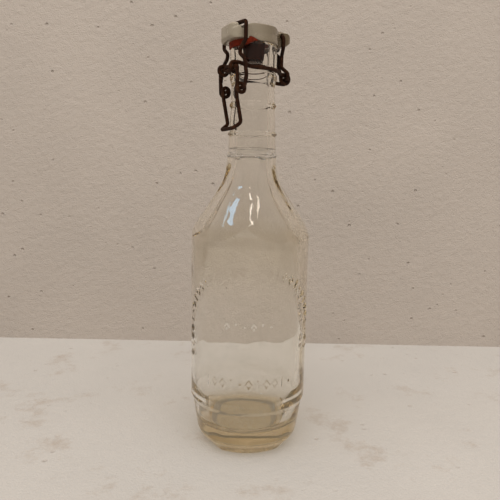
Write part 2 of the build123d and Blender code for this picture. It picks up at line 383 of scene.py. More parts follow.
@dataclass(frozen=True)
class Porcelain:
    """Cream glazed porcelain, darkened by soiling and painted shade, with grey handling marks, small rust stains,
    painted shade towards the ear's end, and a dark plug below the rim that is partly painted shade.
    """

    # These tones are far darker than clean cream porcelain: partly soiling, partly painted shade over the whole cap
    glaze: Tone = (0.35, 0.305, 0.235)
    shade: Tone = (0.25, 0.205, 0.145)
    stain: Tone = (0.12, 0.07, 0.035)
    # Painted shade: the cap's colour darkens towards the ear's end, standing in for the shade on that side
    painted_shade_tone: Tone = (0.095, 0.062, 0.028)
    painted_shade_from: float = -16.0 * MM
    painted_shade_to: float = 16.0 * MM
    # Dark red-brown below the lip's rim: partly the plug's own dark, dirty colour, partly painted shade inside the
    # mouth
    plug: Tone = (0.032, 0.007, 0.003)
    rim_low: float = 228.4 * MM
    rim_high: float = 229.4 * MM

    def make(self) -> bpy.types.Material:
        """Build the material.

        Returns:
            The material.
        """
        bench = Bench("cream_porcelain")
        worn = bench.step(bench.grain(160.0, 6.0, 0.65), 0.48, 0.72)
        rusty = bench.step(bench.grain(260.0, 5.0, 0.6), 0.64, 0.74)
        # Painted shade: the colour darkens along the cap towards the ear's end
        along = bench.node("ShaderNodeSeparateXYZ", {}, {"Vector": bench.place()}, "X")
        painted_shade = bench.step(along, self.painted_shade_from, self.painted_shade_to)
        body = bench.blend(painted_shade * 0.85, bench.blend(worn * 0.7, self.glaze, self.shade), self.painted_shade_tone)
        stained = bench.blend(rusty * 0.6, body, self.stain)
        # Below the lip's rim the colour turns to the plug tone, partly painted shade inside the mouth
        under = 1.0 - bench.step(bench.height(), self.rim_low, self.rim_high)
        colour = bench.blend(under, stained, self.plug)
        relief = bench.grain(420.0, 3.0)
        return bench.surface(bench.principled({
            "Base Color": colour, "Roughness": 0.22 + worn * 0.2, "Coat Weight": (0.6 - rusty * 0.5) * (1.0 - under),
            "Coat Roughness": 0.12,
            "Normal": bench.bump(relief, 0.00012, 0.4),
        }))


@dataclass(frozen=True)
class RedRubber:
    """Old red rubber, dull and cracked, with a darker sleeve inside the mouth that is partly painted shade."""

    bright: Tone = (0.20, 0.020, 0.005)
    dark: Tone = (0.06, 0.010, 0.005)
    # Sleeve inside the mouth: darker red-brown, partly its own dark rubber and partly painted shade
    sleeve: Tone = (0.055, 0.010, 0.004)
    sleeve_radius: float = 6.6 * MM

    def make(self) -> bpy.types.Material:
        """Build the material.

        Returns:
            The material.
        """
        bench = Bench("perished_rubber")
        age = bench.grain(300.0, 6.0, 0.7)
        cells = bench.node(
            "ShaderNodeTexVoronoi", {"feature": "DISTANCE_TO_EDGE"},
            {"Vector": bench.place(), "Scale": 700.0}, "Distance",
        )
        cracks = 1.0 - bench.step(cells, 0.0, 0.08)
        flange = bench.blend((bench.step(age, 0.45, 0.7) + cracks * 0.3).held(), self.bright, self.dark)
        reach = bench.reach()
        # Inside the sleeve's radius the colour turns to the dark sleeve tone, partly painted shade
        colour = bench.blend(bench.step(reach, self.sleeve_radius, self.sleeve_radius + 1.0 * MM), self.sleeve, flange)
        return bench.surface(bench.principled({
            "Base Color": colour, "Roughness": 0.62 + age * 0.2, "Specular IOR Level": 0.2,
            "Normal": bench.bump(age - cracks * 0.5, 0.0002, 0.6),
        }))


@dataclass(frozen=True)
class RustyWire:
    """Steel wire under a dark, pitted coat of rust."""

    dark: Tone = (0.010, 0.0032, 0.0013)
    brown: Tone = (0.027, 0.0085, 0.0032)
    bright: Tone = (0.080, 0.030, 0.011)

    def make(self) -> bpy.types.Material:
        """Build the material.

        Returns:
            The material.
        """
        bench = Bench("rusted_wire")
        patches = bench.grain(330.0, 5.0, 0.6)
        pits = bench.grain(1900.0, 6.0, 0.7)
        colour = bench.ramp((patches * 0.65 + pits * 0.35), [
            (0.36, self.dark), (0.52, self.brown), (0.68, self.bright),
        ])
        return bench.surface(bench.principled({
            "Base Color": colour, "Metallic": 0.1, "Roughness": 0.5 + pits * 0.4, "Specular IOR Level": 0.22,
            "Normal": bench.bump(pits * 0.6 + patches * 0.4, 0.0004, 0.8),
        }))


@dataclass(frozen=True)
class Ground:
    """Pale rough surface of the studio, a floor or a wall, with pits and a little dirt."""

    name: str
    tone: Tone
    depth: float
    scale: float
    dirt: float
    dirt_and_pit_tone: Tone = (0.30, 0.20, 0.12)
    one_sided: bool = False

    def make(self) -> bpy.types.Material:
        """Build the material.

        Returns:
            The material.
        """
        bench = Bench(self.name)
        coarse = bench.grain(self.scale, 3.0, 0.55)
        fine = bench.grain(self.scale * 5, 2.0, 0.5)
        cells = bench.node(
            "ShaderNodeTexVoronoi", {"feature": "F1"}, {"Vector": bench.place(), "Scale": self.scale / 2}, "Distance"
        )
        kept = bench.step(bench.grain(self.scale / 3, 2.0), 0.52, 0.58)
        pits = (1.0 - bench.step(cells, 0.05, 0.14)) * kept
        lighter = tuple(min(1.0, part * 1.04) for part in self.tone)
        darker = tuple(part * 0.96 for part in self.tone)
        even = bench.blend(bench.step(bench.grain(9.0, 4.0), 0.3, 0.7), darker, lighter)
        # The pits are painted darker besides being sunk by the bump; the noise adds dirt patches
        dirt_and_dark_pits = bench.step(bench.grain(22.0, 6.0, 0.75), 0.56, 0.78) * self.dirt + pits * 0.2
        skin = bench.principled({
            "Base Color": bench.blend(dirt_and_dark_pits.held(), even, self.dirt_and_pit_tone), "Roughness": 0.85,
            "Normal": bench.bump(coarse * 0.6 + fine * 0.4 - pits * 0.8, self.depth, 1.0),
        })
        if self.one_sided:
            behind = bench.node("ShaderNodeNewGeometry", {}, {}, "Backfacing")
            nothing = bench.node("ShaderNodeBsdfTransparent", {}, {})
            skin = bench.node("ShaderNodeMixShader", {}, {0: behind, 1: skin, 2: nothing})
        return bench.surface(skin)


def rounded(corners: list[Corner], spacing: float) -> Outline:
    """Points along an open outline whose corners are rounded.

    Args:
        corners: radius from the axis, height and rounding radius of each corner.
        spacing: longest distance between points.

    Returns:
        Radius and height of each point.
    """
    line = [Vector(corners[0][:2])]
    for before, here, after in zip(corners, corners[1:], corners[2:]):
        middle = Vector(here[:2])
        back = (Vector(before[:2]) - middle).normalized()
        ahead = (Vector(after[:2]) - middle).normalized()
        half = acos(max(-1.0, min(1.0, back.dot(ahead)))) / 2
        if here[2] == 0:
            line.append(middle)
            continue
        reach = here[2] / tan(half)
        centre = middle + (back + ahead).normalized() * (here[2] / sin(half))
        start = middle + back * reach - centre
        sweep = pi - 2 * half
        way = 1 if back.x * ahead.y - back.y * ahead.x < 0 else -1
        steps = max(4, ceil(degrees(sweep) / 6), ceil(here[2] * sweep / spacing))
        for index in range(steps + 1):
            turn = way * sweep * index / steps
            line.append(centre + Matrix.Rotation(turn, 2) @ start)
    line.append(Vector(corners[-1][:2]))
    return spaced(line, spacing)


def spaced(line: list[Vector], spacing: float) -> Outline:
    """The same line with its long stretches divided.

    Args:
        line: points of the line.
        spacing: longest distance between points.

    Returns:
        Radius and height of each point.
    """
    points = [tuple(line[0])]
    for start, end in zip(line, line[1:]):
        length = (end - start).length
        if length < 1e-7:
            continue
        count = max(1, ceil(length / spacing))
        points += [tuple(start.lerp(end, index / count)) for index in range(1, count + 1)]
    return points


def height_reader(outline: Outline, height: float) -> float:
    """Radius of an outline at a height.

    Args:
        outline: points of the outline, going up.
        height: the height.

    Returns:
        The radius there.
    """
    return float(np.interp(height, [point[1] for point in outline], [point[0] for point in outline]))


def soft_least(first: np.ndarray, second: np.ndarray, band: float) -> np.ndarray:
    """The lesser of two values, rounded where they are nearly equal."""
    overlap = np.maximum(band - np.abs(first - second), 0.0) / band
    return np.minimum(first, second) - overlap * overlap * band / 4


@dataclass
class Flat:
    """One panel or facet: the glass stays inside an arc about an axis of its own."""

    turn: float
    shift: float
    outline: Outline
    low: float
    high: float

    def limit(self, turns: np.ndarray, height: float) -> np.ndarray:
        """How far out the glass may reach.

        Args:
            turns: directions about the bottle's axis, in radians.
            height: height above the table.

        Returns:
            The radii, or large ones where this flat doesn't reach.
        """
        if height < self.low or height > self.high:
            return np.ones_like(turns)
        away = turns - self.turn
        radius = height_reader(self.outline, height)
        inside = radius * radius - (self.shift * np.sin(away)) ** 2
        return np.sqrt(np.maximum(inside, 0.0)) - self.shift * np.cos(away)


@dataclass(frozen=True)
class Mark:
    """One raised mark on the unrolled body: a short bar, or a pip where it has no length."""

    across: float
    height: float
    lean: float
    length: float
    width: float


@dataclass
class Relief:
    """Plain lozenges, bars and pips moulded on the body: an arch, a short line and a row."""

    centre: float = radians(243.0)
    arch_half: float = 43.0 * MM
    arch_rise: float = 36.0 * MM
    arch_spring: float = 72.0 * MM
    arch_low: float = 56.0 * MM
    pitch: float = 4.9 * MM
    tall: float = 4.4 * MM
    wide: float = 3.0 * MM
    stroke: float = 0.66 * MM
    pip: float = 0.95 * MM
    line_z: float = 77.0 * MM
    line_half: float = 13.0 * MM
    row_z: float = 45.0 * MM
    row_half: float = 25.0 * MM
    line_share: float = 0.75
    row_share: float = 1.1
    out: float = 0.52 * MM
    marks: list[Mark] = field(default_factory=list)

    def arch_path(self) -> list[tuple[float, float, float]]:
        """Places along the arch at an even pitch.

        Returns:
            Distance across, height, and lean from upright of each place.
        """
        fine = [(-self.arch_half, self.arch_low, pi / 2), (-self.arch_half, self.arch_spring, pi / 2)]
        steps = 90
        for index in range(1, steps):
            turn = pi - pi * index / steps
            fine.append((self.arch_half * cos(turn), self.arch_spring + self.arch_rise * sin(turn), turn - pi / 2))
        fine += [(self.arch_half, self.arch_spring, -pi / 2), (self.arch_half, self.arch_low, -pi / 2)]
        places = []
        left = 0.0
        for start, end in zip(fine, fine[1:]):
            run = Vector(end[:2]) - Vector(start[:2])
            while left < run.length:
                share = left / run.length
                places.append(tuple(a + (b - a) * share for a, b in zip(start, end)))
                left += self.pitch
            left -= run.length
        return places

    def add_motif(self, kind: Motif, across: float, height: float, lean: float, share: float) -> None:
        """Add a lozenge, a bar or a pip.

        Args:
            kind: which motif it is.
            across: distance along the body from the middle.
            height: height above the table.
            lean: lean from upright.
            share: its size against the full one.
        """
        tall = self.tall * share
        wide = self.wide * share
        if kind is Motif.BAR:
            self.marks.append(Mark(across, height, lean, tall, self.stroke))
            return
        if kind is Motif.PIP:
            self.marks.append(Mark(across, height, lean, 0.0, self.pip * share))
            return
        side = hypot(tall, wide) / 2
        for way in (-1, 1):
            for end in (-1, 1):
                east = way * wide / 4
                north = end * tall / 4
                x = across + east * cos(lean) - north * sin(lean)
                z = height + east * sin(lean) + north * cos(lean)
                tilt = lean + way * end * atan2(wide, tall)
                self.marks.append(Mark(x, z, tilt, side, self.stroke))

    def set_out(self) -> None:
        """Place every mark."""
        order = (Motif.LOZENGE, Motif.BAR, Motif.LOZENGE, Motif.LOZENGE, Motif.BAR, Motif.PIP)
        for index, (across, height, lean) in enumerate(self.arch_path()):
            self.add_motif(order[index % len(order)], across, height, lean, 1.0)
        for index in range(int(2 * self.line_half / self.pitch) + 1):
            kind = Motif(index % len(Motif))
            self.add_motif(kind, -self.line_half + index * self.pitch, self.line_z, 0.0, self.line_share)
        for index in range(int(2 * self.row_half / self.pitch) + 1):
            kind = order[(index + 1) % len(order)]
            self.add_motif(kind, -self.row_half + index * self.pitch, self.row_z, 0.0, self.row_share)

    def raised(self, turns: np.ndarray, height: float, radius: float) -> np.ndarray:
        """How far the marks stand out along one row of points.

        Args:
            turns: directions about the bottle's axis.
            height: height of the row.
            radius: radius of the body.

        Returns:
            The distances.
        """
        across = ((turns - self.centre + pi) % (2 * pi) - pi) * radius
        total = np.zeros_like(turns)
        for mark in self.marks:
            if abs(mark.height - height) > mark.length / 2 + mark.width * 2:
                continue
            side = across - mark.across
            rise = height - mark.height
            along = np.clip(-side * sin(mark.lean) + rise * cos(mark.lean), -mark.length / 2, mark.length / 2)
            gap = np.hypot(side + along * sin(mark.lean), rise - along * cos(mark.lean))
            share = np.clip(1.0 - gap / mark.width, 0.0, 1.0)
            total = np.maximum(total, share * share * (3 - 2 * share) * self.out)
        return total


@dataclass
class GlassBottle:
    """The bottle, in one closed mesh from the punt up over the lip and down inside."""

    # Outside
    body_radius: float = 34.2 * MM
    glass_height: float = 229.6 * MM
    foot_radius: float = 25.5 * MM
    foot_round: float = 6.0 * MM
    foot_top: float = 8.0 * MM
    heel_height: float = 27.4 * MM
    heel_step: float = 0.7 * MM
    heel_taper: float = 1.9 * MM
    shoulder_z: float = 126.9 * MM
    shoulder_angle: float = radians(33.7)
    shoulder_break: float = 22.0 * MM
    neck_blend: float = 53.0 * MM
    neck_radius: float = 12.4 * MM
    neck_taper: float = radians(2.3)
    neck_radius_z: float = 202.0 * MM
    # Shoulder panels and heel facets
    panel_count: int = 6
    panel_turn: float = radians(-3.0)
    panel_shift: float = 28.0 * MM
    panel_ridge: float = 2.1 * MM
    ridge_break: float = 7.0 * MM
    ridge_blend: float = 46.0 * MM
    panel_fade: float = 0.25 * MM
    facet_turn: float = radians(246.3)
    facet_front: float = radians(79.4)
    facet_back_count: int = 3
    facet_shift: float = 8.0 * MM
    facet_depth: float = 0.4 * MM
    facet_taper: float = 2.9 * MM
    facet_foot: float = 23.4 * MM
    # Neck rings, lip, bead and the wire's seat
    ring_heights: tuple[float, ...] = (168.2 * MM, 180.2 * MM, 195.6 * MM)
    ring_projections: tuple[float, ...] = (0.75 * MM, 0.85 * MM, 0.65 * MM)
    ring_lengths: tuple[float, ...] = (2.6 * MM, 2.2 * MM, 3.0 * MM)
    lip_radius: float = 13.1 * MM
    lip_bottom: float = 217.0 * MM
    lip_round: float = 1.3 * MM
    mouth_round: float = 1.6 * MM
    bead_top: float = 213.9 * MM
    bead_length: float = 3.2 * MM
    bead_radius: float = 13.2 * MM
    seat_radius: float = 12.6 * MM
    # Inside
    bore_radius: float = 9.0 * MM
    wall: float = 3.3 * MM
    floor_height: float = 13.0 * MM
    floor_round: float = 7.0 * MM
    floor_rise: float = 1.2 * MM
    floor_taper: float = 5.0 * MM
    floor_taper_rise: float = 8.0 * MM
    cavity_shift: float = 1.2 * MM
    cavity_turn: float = radians(151.0)
    shift_low: float = 140.0 * MM
    shift_high: float = 168.0 * MM
    # Hollow under the foot and small roundings
    punt_radius: float = 18.0 * MM
    punt_height: float = 1.6 * MM
    punt_round: float = 2.5 * MM
    foot_edge: float = 2.0 * MM
    edge_round: float = 0.4 * MM
    ring_round: float = 0.45 * MM
    ring_shares: tuple[float, float] = (0.34, 0.62)
    bead_round: float = 0.5 * MM
    seat_round: float = 0.3 * MM
    flare_round: float = 1.5 * MM
    # Mesh
    spacing: float = 0.42 * MM
    columns: int = 720
    arris_band: float = 0.35 * MM
    # Unevenness of the glass
    wave: float = 0.26 * MM
    wave_length: float = 17.0 * MM
    neck_wave_share: float = 0.25
    skin_wave: float = 0.05 * MM
    skin_length: float = 9.0 * MM
    shoulder_wave: float = 0.16 * MM
    wavy_z: float = 141.0 * MM
    wavy_half: float = 17.0 * MM
    shoulder_length: float = 7.0 * MM
    heel_soft: float = 1.6 * MM
    flats: list[Flat] = field(default_factory=list)
    relief: Relief = field(default_factory=Relief)

    def neck_line(self, height: float) -> float:
        """Outer radius of the plain neck at a height."""
        return self.neck_radius + (self.neck_radius_z - height) * tan(self.neck_taper)

    def neck_corner(self, radius: float, height: float) -> tuple[float, float]:
        """Where the shoulder's slope through a corner meets the neck's line.

        Args:
            radius: radius of the corner.
            height: height of the corner.

        Returns:
            Radius and height of the meeting point.
        """
        slope = tan(self.shoulder_angle) - tan(self.neck_taper)
        rise = (radius - self.neck_line(height)) / slope
        return self.neck_line(height + rise), height + rise

    def outside(self) -> Outline:
        """Outline of the round outside, from the punt's middle to the lip.

        Returns:
            Radius and height of each point.
        """
        ridge_z = self.shoulder_z + self.panel_ridge / tan(self.shoulder_angle)
        neck = self.neck_corner(self.body_radius, ridge_z)
        heel = self.body_radius - self.heel_step
        bead_bottom = self.bead_top - self.bead_length
        corners = [(0, self.punt_height, 0), (self.punt_radius, 0, self.punt_round)]
        corners += [(self.foot_radius, 0, self.foot_edge)]
        corners += [(heel - self.heel_taper, self.foot_top, self.foot_round)]
        corners += [(heel, self.heel_height - self.heel_soft / 2, self.heel_soft)]
        corners += [(self.body_radius, self.heel_height + self.heel_soft, self.heel_soft)]
        corners += [(self.body_radius, ridge_z, self.ridge_break), (*neck, self.ridge_blend)]
        for height, out, length in zip(self.ring_heights, self.ring_projections, self.ring_lengths):
            corners += [(self.neck_line(height), height, self.edge_round)]
            for share in self.ring_shares:
                corners += [(self.neck_line(height) + out, height + share * length, self.ring_round)]
            corners += [(self.neck_line(height + length), height + length, self.edge_round)]
        flare_z = bead_bottom - self.bead_length
        corners += [(self.neck_line(flare_z), flare_z, self.flare_round)]
        corners += [(self.bead_radius, bead_bottom + self.heel_step, self.bead_round)]
        corners += [(self.bead_radius, self.bead_top - self.heel_step, self.bead_round)]
        corners += [(self.seat_radius, self.bead_top, self.seat_round)]
        corners += [(self.seat_radius, self.lip_bottom - self.heel_step, self.seat_round)]
        corners += [(self.lip_radius, self.lip_bottom, self.edge_round)]
        corners += [(self.lip_radius, self.glass_height, self.lip_round)]
        corners += [(self.bore_radius + self.mouth_round, self.glass_height, 0)]
        return rounded(corners, self.spacing)

    def inside(self) -> Outline:
        """Outline of the room inside, from the mouth down to the floor's middle.

        Returns:
            Radius and height of each point.
        """
        radius = self.body_radius - self.wall
        corner_z = self.shoulder_z - self.wall / 2
        neck = self.neck_corner(radius, corner_z)
        bore_z = neck[1] + (neck[0] - self.bore_radius) / tan(self.shoulder_angle)
        corners = [(self.bore_radius + self.mouth_round, self.glass_height, 0)]
        corners += [(self.bore_radius, self.glass_height, self.mouth_round * 0.95)]
        corners += [(self.bore_radius, bore_z, self.neck_blend), (radius, corner_z, self.shoulder_break)]
        corners += [(radius, self.heel_height + self.floor_taper_rise, radius)]
        corners += [(radius - self.floor_taper, self.floor_height, self.floor_round)]
        corners += [(0, self.floor_height + self.floor_rise, 0)]
        return rounded(corners, self.spacing * 2.5)

    def make_flats(self) -> None:
        """Set out the shoulder's panels and the heel's facets."""
        corner = (self.body_radius + self.panel_fade, self.shoulder_z)
        neck = self.neck_corner(*corner)
        top = self.ring_heights[0]
        low = self.shoulder_z - self.shoulder_break
        shift = self.panel_shift
        corners = [(shift + corner[0], low, 0), (shift + corner[0], corner[1], self.shoulder_break)]
        corners += [(shift + neck[0] + self.panel_fade, neck[1], self.neck_blend / 2)]
        corners += [(shift + self.neck_line(top) + 2 * self.panel_fade, top, 0)]
        line = rounded(corners, self.spacing)
        step = 2 * pi / self.panel_count
        for index in range(self.panel_count):
            self.flats.append(Flat(self.panel_turn + (index + 0.5) * step, shift, line, low, top))
        shift = self.facet_shift
        top_radius = self.body_radius - self.heel_step - self.facet_depth
        corners = [(shift + self.facet_foot, 0, 0)]
        corners += [(shift + top_radius - self.facet_taper, self.foot_top, self.foot_round)]
        corners += [(shift + top_radius, self.heel_height - self.heel_soft / 3, self.heel_soft / 3)]
        corners += [(shift + self.body_radius, self.heel_height + self.heel_soft, 0)]
        line = rounded(corners, self.spacing)
        step = (2 * pi - 2 * self.facet_front) / self.facet_back_count
        backs = range(self.facet_back_count + 1)
        turns = [self.facet_turn] + [self.facet_turn + self.facet_front + step * index for index in backs]
        for turn in turns:
            self.flats.append(Flat(turn, shift, line, -1.0, self.heel_height + self.heel_soft))

    def outer_row(self, radius: float, height: float, turns: np.ndarray) -> np.ndarray:
        """Places of one row of points of the outside.

        Args:
            radius: radius of the round form.
            height: height above the table.
            turns: directions about the axis.

        Returns:
            The places, one to a line.
        """
        radii = np.full_like(turns, radius)
        for flat in self.flats:
            radii = soft_least(radii, flat.limit(turns, height), self.arris_band)
        radii = radii + self.relief.raised(turns, height, self.body_radius)
        if self.foot_top < height < self.bead_top - 2 * self.bead_length:
            radii = radii + self.ripple(radii, height, turns, self.skin_length) * self.skin_wave - self.skin_wave
        fade = 1.0 - abs(height - self.wavy_z) / self.wavy_half
        if fade > 0:
            swell = self.ripple(radii, height, turns, self.shoulder_length)
            radii = radii + (swell - 1.0) * self.shoulder_wave * eased(fade)
        return np.stack([radii * np.cos(turns), radii * np.sin(turns), np.full_like(turns, height)], axis=1)

    def inner_row(self, radius: float, height: float, turns: np.ndarray) -> np.ndarray:
        """Places of one row of points inside, a little off the axis and wavy below the neck.

        Args:
            radius: radius of the round form.
            height: height above the table.
            turns: directions about the axis.

        Returns:
            The places, one to a line.
        """
        share = eased((self.shift_high - height) / (self.shift_high - self.shift_low))
        shift = self.cavity_shift * share
        radii = np.full_like(turns, radius)
        swell = self.wave * (self.neck_wave_share + share) * min(1.0, radius / self.bore_radius)
        radii = radii + self.ripple(radii, height, turns, self.wave_length) * swell
        east = radii * np.cos(turns) + shift * cos(self.cavity_turn)
        north = radii * np.sin(turns) + shift * sin(self.cavity_turn)
        return np.stack([east, north, np.full_like(turns, height)], axis=1)

    @staticmethod
    def ripple(radii: np.ndarray, height: float, turns: np.ndarray, length: float) -> np.ndarray:
        """Soft unevenness of blown glass along one row.

        Args:
            radii: radii of the points.
            height: height of the row.
            turns: directions of the points.
            length: distance over which the glass swells and thins.

        Returns:
            Values between about -1 and 1.
        """
        spots = zip(radii * np.cos(turns) / length, radii * np.sin(turns) / length)
        return np.array([noise.noise(Vector((x, y, height / length))) for x, y in spots])

    def build(self, finish: bpy.types.Material) -> bpy.types.Object:
        """Build the bottle.

        Args:
            finish: its material.

        Returns:
            The bottle.
        """
        self.make_flats()
        self.relief.set_out()
        outer = self.panel_turn + 2 * pi * np.arange(self.columns) / self.columns
        inner = outer[::2]
        rows = [self.outer_row(radius, height, outer) for radius, height in self.outside()]
        rows += [self.inner_row(radius, height, inner) for radius, height in self.inside()[1:]]
        rows[0] = rows[0][:1] * (0, 0, 1)
        rows[-1] = rows[-1][:1] * (0, 0, 1)
        starts = np.cumsum([0] + [len(row) for row in rows])
        faces = []
        for start, low, high in zip(starts, rows, rows[1:]):
            faces += self.band(int(start), len(low), len(high))
        data = bpy.data.meshes.new("glass_body")
        data.from_pydata(np.concatenate(rows).tolist(), [], faces)
        data.polygons.foreach_set("use_smooth", [True] * len(data.polygons))
        return add_object("glass_body", data, finish)

    @staticmethod
    def band(start: int, low: int, high: int) -> list[tuple[int, ...]]:
        """Faces between one row and the next, which has as many points, half as many, or one.

        Args:
            start: number of the first row's first point.
            low: how many points the first row has.
            high: how many points the next row has.

        Returns:
            The faces.
        """
        upper = start + low
        if low == 1:
            return [(start, upper + (index + 1) % high, upper + index) for index in range(high)]
        if high == 1:
            return [(start + index, start + (index + 1) % low, upper) for index in range(low)]
        step = low // high
        faces = []
        for index in range(high):
            near = [start + (index * step + part) % low for part in range(step + 1)]
            faces.append((*near, upper + (index + 1) % high, upper + index))
        return faces


@dataclass(frozen=True)
class Dip:
    """Where the cap's top is lowered, or raised with a depth below zero, along its length."""

    start: float
    end: float
    depth: float


@dataclass
class Stopper:
    """Porcelain of the stopper, softened and filled out from its plain solid."""

    voxel: float = 0.26 * MM
    rounds: int = 14
    lobe_low: Corner = (-17.9 * MM, -7.6 * MM, 230.2 * MM)
    lobe_high: Corner = (-13.4 * MM, 7.6 * MM, 238.6 * MM)
    lobe_corner: float = 3.4 * MM
    lobe_edge: float = 1.2 * MM
    lobe_edge_share: float = 0.3
    lobe_steps: int = 8
    ear_middle: Corner = (16.2 * MM, 0.0, 235.0 * MM)
    ear_reach: Corner = (6.5 * MM, 4.8 * MM, 4.5 * MM)
    ear_limit: Corner = (6.6 * MM, 7.5 * MM, 4.5 * MM)
    ear_sides: int = 48
    hole_x: float = 15.8 * MM
    hole_z: float = 235.6 * MM
    hole_radius: float = 1.5 * MM
    side_low: float = 233.0 * MM
    side_high: float = 236.0 * MM
    dips: tuple[Dip, ...] = (
        Dip(-6.0 * MM, -10.7 * MM, 1.3 * MM),
        Dip(5.0 * MM, 12.5 * MM, 1.3 * MM),
        Dip(12.0 * MM, 15.0 * MM, -1.3 * MM),
    )
    skirt_radius: float = 12.85 * MM
    skirt_width: float = 1.2 * MM
    skirt_high: float = 233.2 * MM
    skirt_fade: float = 2.0 * MM
    skirt_drop: float = 2.7 * MM
    skirt_flare: float = 0.5 * MM
    skirt_start: float = -9.0 * MM
    skirt_full: float = -2.0 * MM

    def lobe_block(self) -> bmesh.types.BMesh:
        """Rounded block that fills out the lobe.

        Returns:
            The block.
        """
        low, high = Vector(self.lobe_low), Vector(self.lobe_high)
        block = bmesh.new()
        for inset in (self.lobe_edge, self.lobe_edge * self.lobe_edge_share, 0.0):
            rise = self.lobe_edge - inset
            for level in (low.z + rise, high.z - rise):
                for side in (-1, 1):
                    block.verts.new((high.x, side * (high.y - inset), level))
                    for step in range(self.lobe_steps + 1):
                        turn = pi / 2 * step / self.lobe_steps
                        across = high.y - self.lobe_corner + (self.lobe_corner - inset) * cos(turn)
                        along = low.x + self.lobe_corner - (self.lobe_corner - inset) * sin(turn)
                        block.verts.new((along, side * across, level))
        hull = bmesh.ops.convex_hull(block, input=block.verts)
        bmesh.ops.delete(block, geom=hull["geom_interior"], context="VERTS")
        return block

    def ear_lump(self) -> bmesh.types.BMesh:
        """Rounded lump that fills out the ear.

        Returns:
            The lump.
        """
        lump = bmesh.new()
        bmesh.ops.create_uvsphere(lump, u_segments=self.ear_sides, v_segments=self.ear_sides // 2, radius=1.0)
        for point in lump.verts:
            point.co = Vector(
                middle + part * size for middle, part, size in zip(self.ear_middle, point.co, self.ear_reach)
            )
        return lump

    def pierce(self, piece: bpy.types.Object) -> bpy.types.Object:
        """Add the hole for the link's wire.

        Args:
            piece: the porcelain, whose modifiers the hole is added to.

        Returns:
            The rod that cuts it, to be taken away once the porcelain is shaped.
        """
        rod = bmesh.new()
        turned = Matrix.Translation((self.hole_x, 0, self.hole_z)) @ Matrix.Rotation(pi / 2, 4, "X")
        bmesh.ops.create_cone(
            rod, cap_ends=True, segments=32, radius1=self.hole_radius, radius2=self.hole_radius,
            depth=20 * self.hole_radius, matrix=turned,
        )
        data = bpy.data.meshes.new("hole")
        rod.to_mesh(data)
        rod.free()
        tool = add_object("hole", data)
        cut = piece.modifiers.new("hole", "BOOLEAN")
        cut.operation = "DIFFERENCE"
        cut.object = tool
        return tool

    def build(self, solid: bpy.types.Object, finish: bpy.types.Material) -> bpy.types.Object:
        """Build the porcelain.

        Args:
            solid: the plain solid that it replaces.
            finish: its material.

        Returns:
            The porcelain.
        """
        whole = bmesh.new()
        whole.from_mesh(solid.data)
        for part in (self.lobe_block(), self.ear_lump()):
            spare = bpy.data.meshes.new("spare")
            part.to_mesh(spare)
            part.free()
            whole.from_mesh(spare)
            bpy.data.meshes.remove(spare)
        data = bpy.data.meshes.new("porcelain_cap")
        whole.to_mesh(data)
        whole.free()
        piece = add_object("porcelain_cap", data)
        remesh = piece.modifiers.new("fine", "REMESH")
        remesh.mode = "VOXEL"
        remesh.voxel_size = self.voxel
        tool = self.pierce(piece)
        soften = piece.modifiers.new("soften", "SMOOTH")
        soften.iterations = self.rounds
        soften.factor = 0.5
        graph = bpy.context.evaluated_depsgraph_get()
        shaped = bpy.data.meshes.new_from_object(piece.evaluated_get(graph))
        piece.modifiers.clear()
        bpy.data.objects.remove(tool)
        for point in shaped.vertices:
            self.reshape(point.co)
        piece.data = shaped
        shaped.polygons.foreach_set("use_smooth", [True] * len(shaped.polygons))
        shaped.materials.clear()
        shaped.materials.append(finish)
        return piece

    def reshape(self, place: Vector) -> None:
        """Move one point of the softened porcelain: the ear's edge, the crown's dips and the skirt over the seal.

        Args:
            place: the point's place, which is changed.
        """
        above = eased((place.z - self.side_low) / (self.side_high - self.side_low))
        reach = hypot(place.x, place.y)
        from_ear = place - Vector(self.ear_middle)
        beyond = Vector(part / size for part, size in zip(from_ear, self.ear_limit)).length
        if from_ear.x > 0 and beyond > 1:
            place.xyz = Vector(self.ear_middle) + from_ear / beyond
        for dip in self.dips:
            if (place.x - dip.start) * (dip.end - dip.start) > 0 and place.x > self.lobe_high[0]:
                place.z -= dip.depth * above * eased((place.x - dip.start) / (dip.end - dip.start))
        along = eased((place.x - self.skirt_start) / (self.skirt_full - self.skirt_start))
        under = eased((self.skirt_high - place.z) / self.skirt_fade)
        if self.skirt_radius < reach < self.skirt_radius + self.skirt_width:
            share = along * under
            place.z -= self.skirt_drop * share
            place.x *= 1 + self.skirt_flare * share / reach
            place.y *= 1 + self.skirt_flare * share / reach


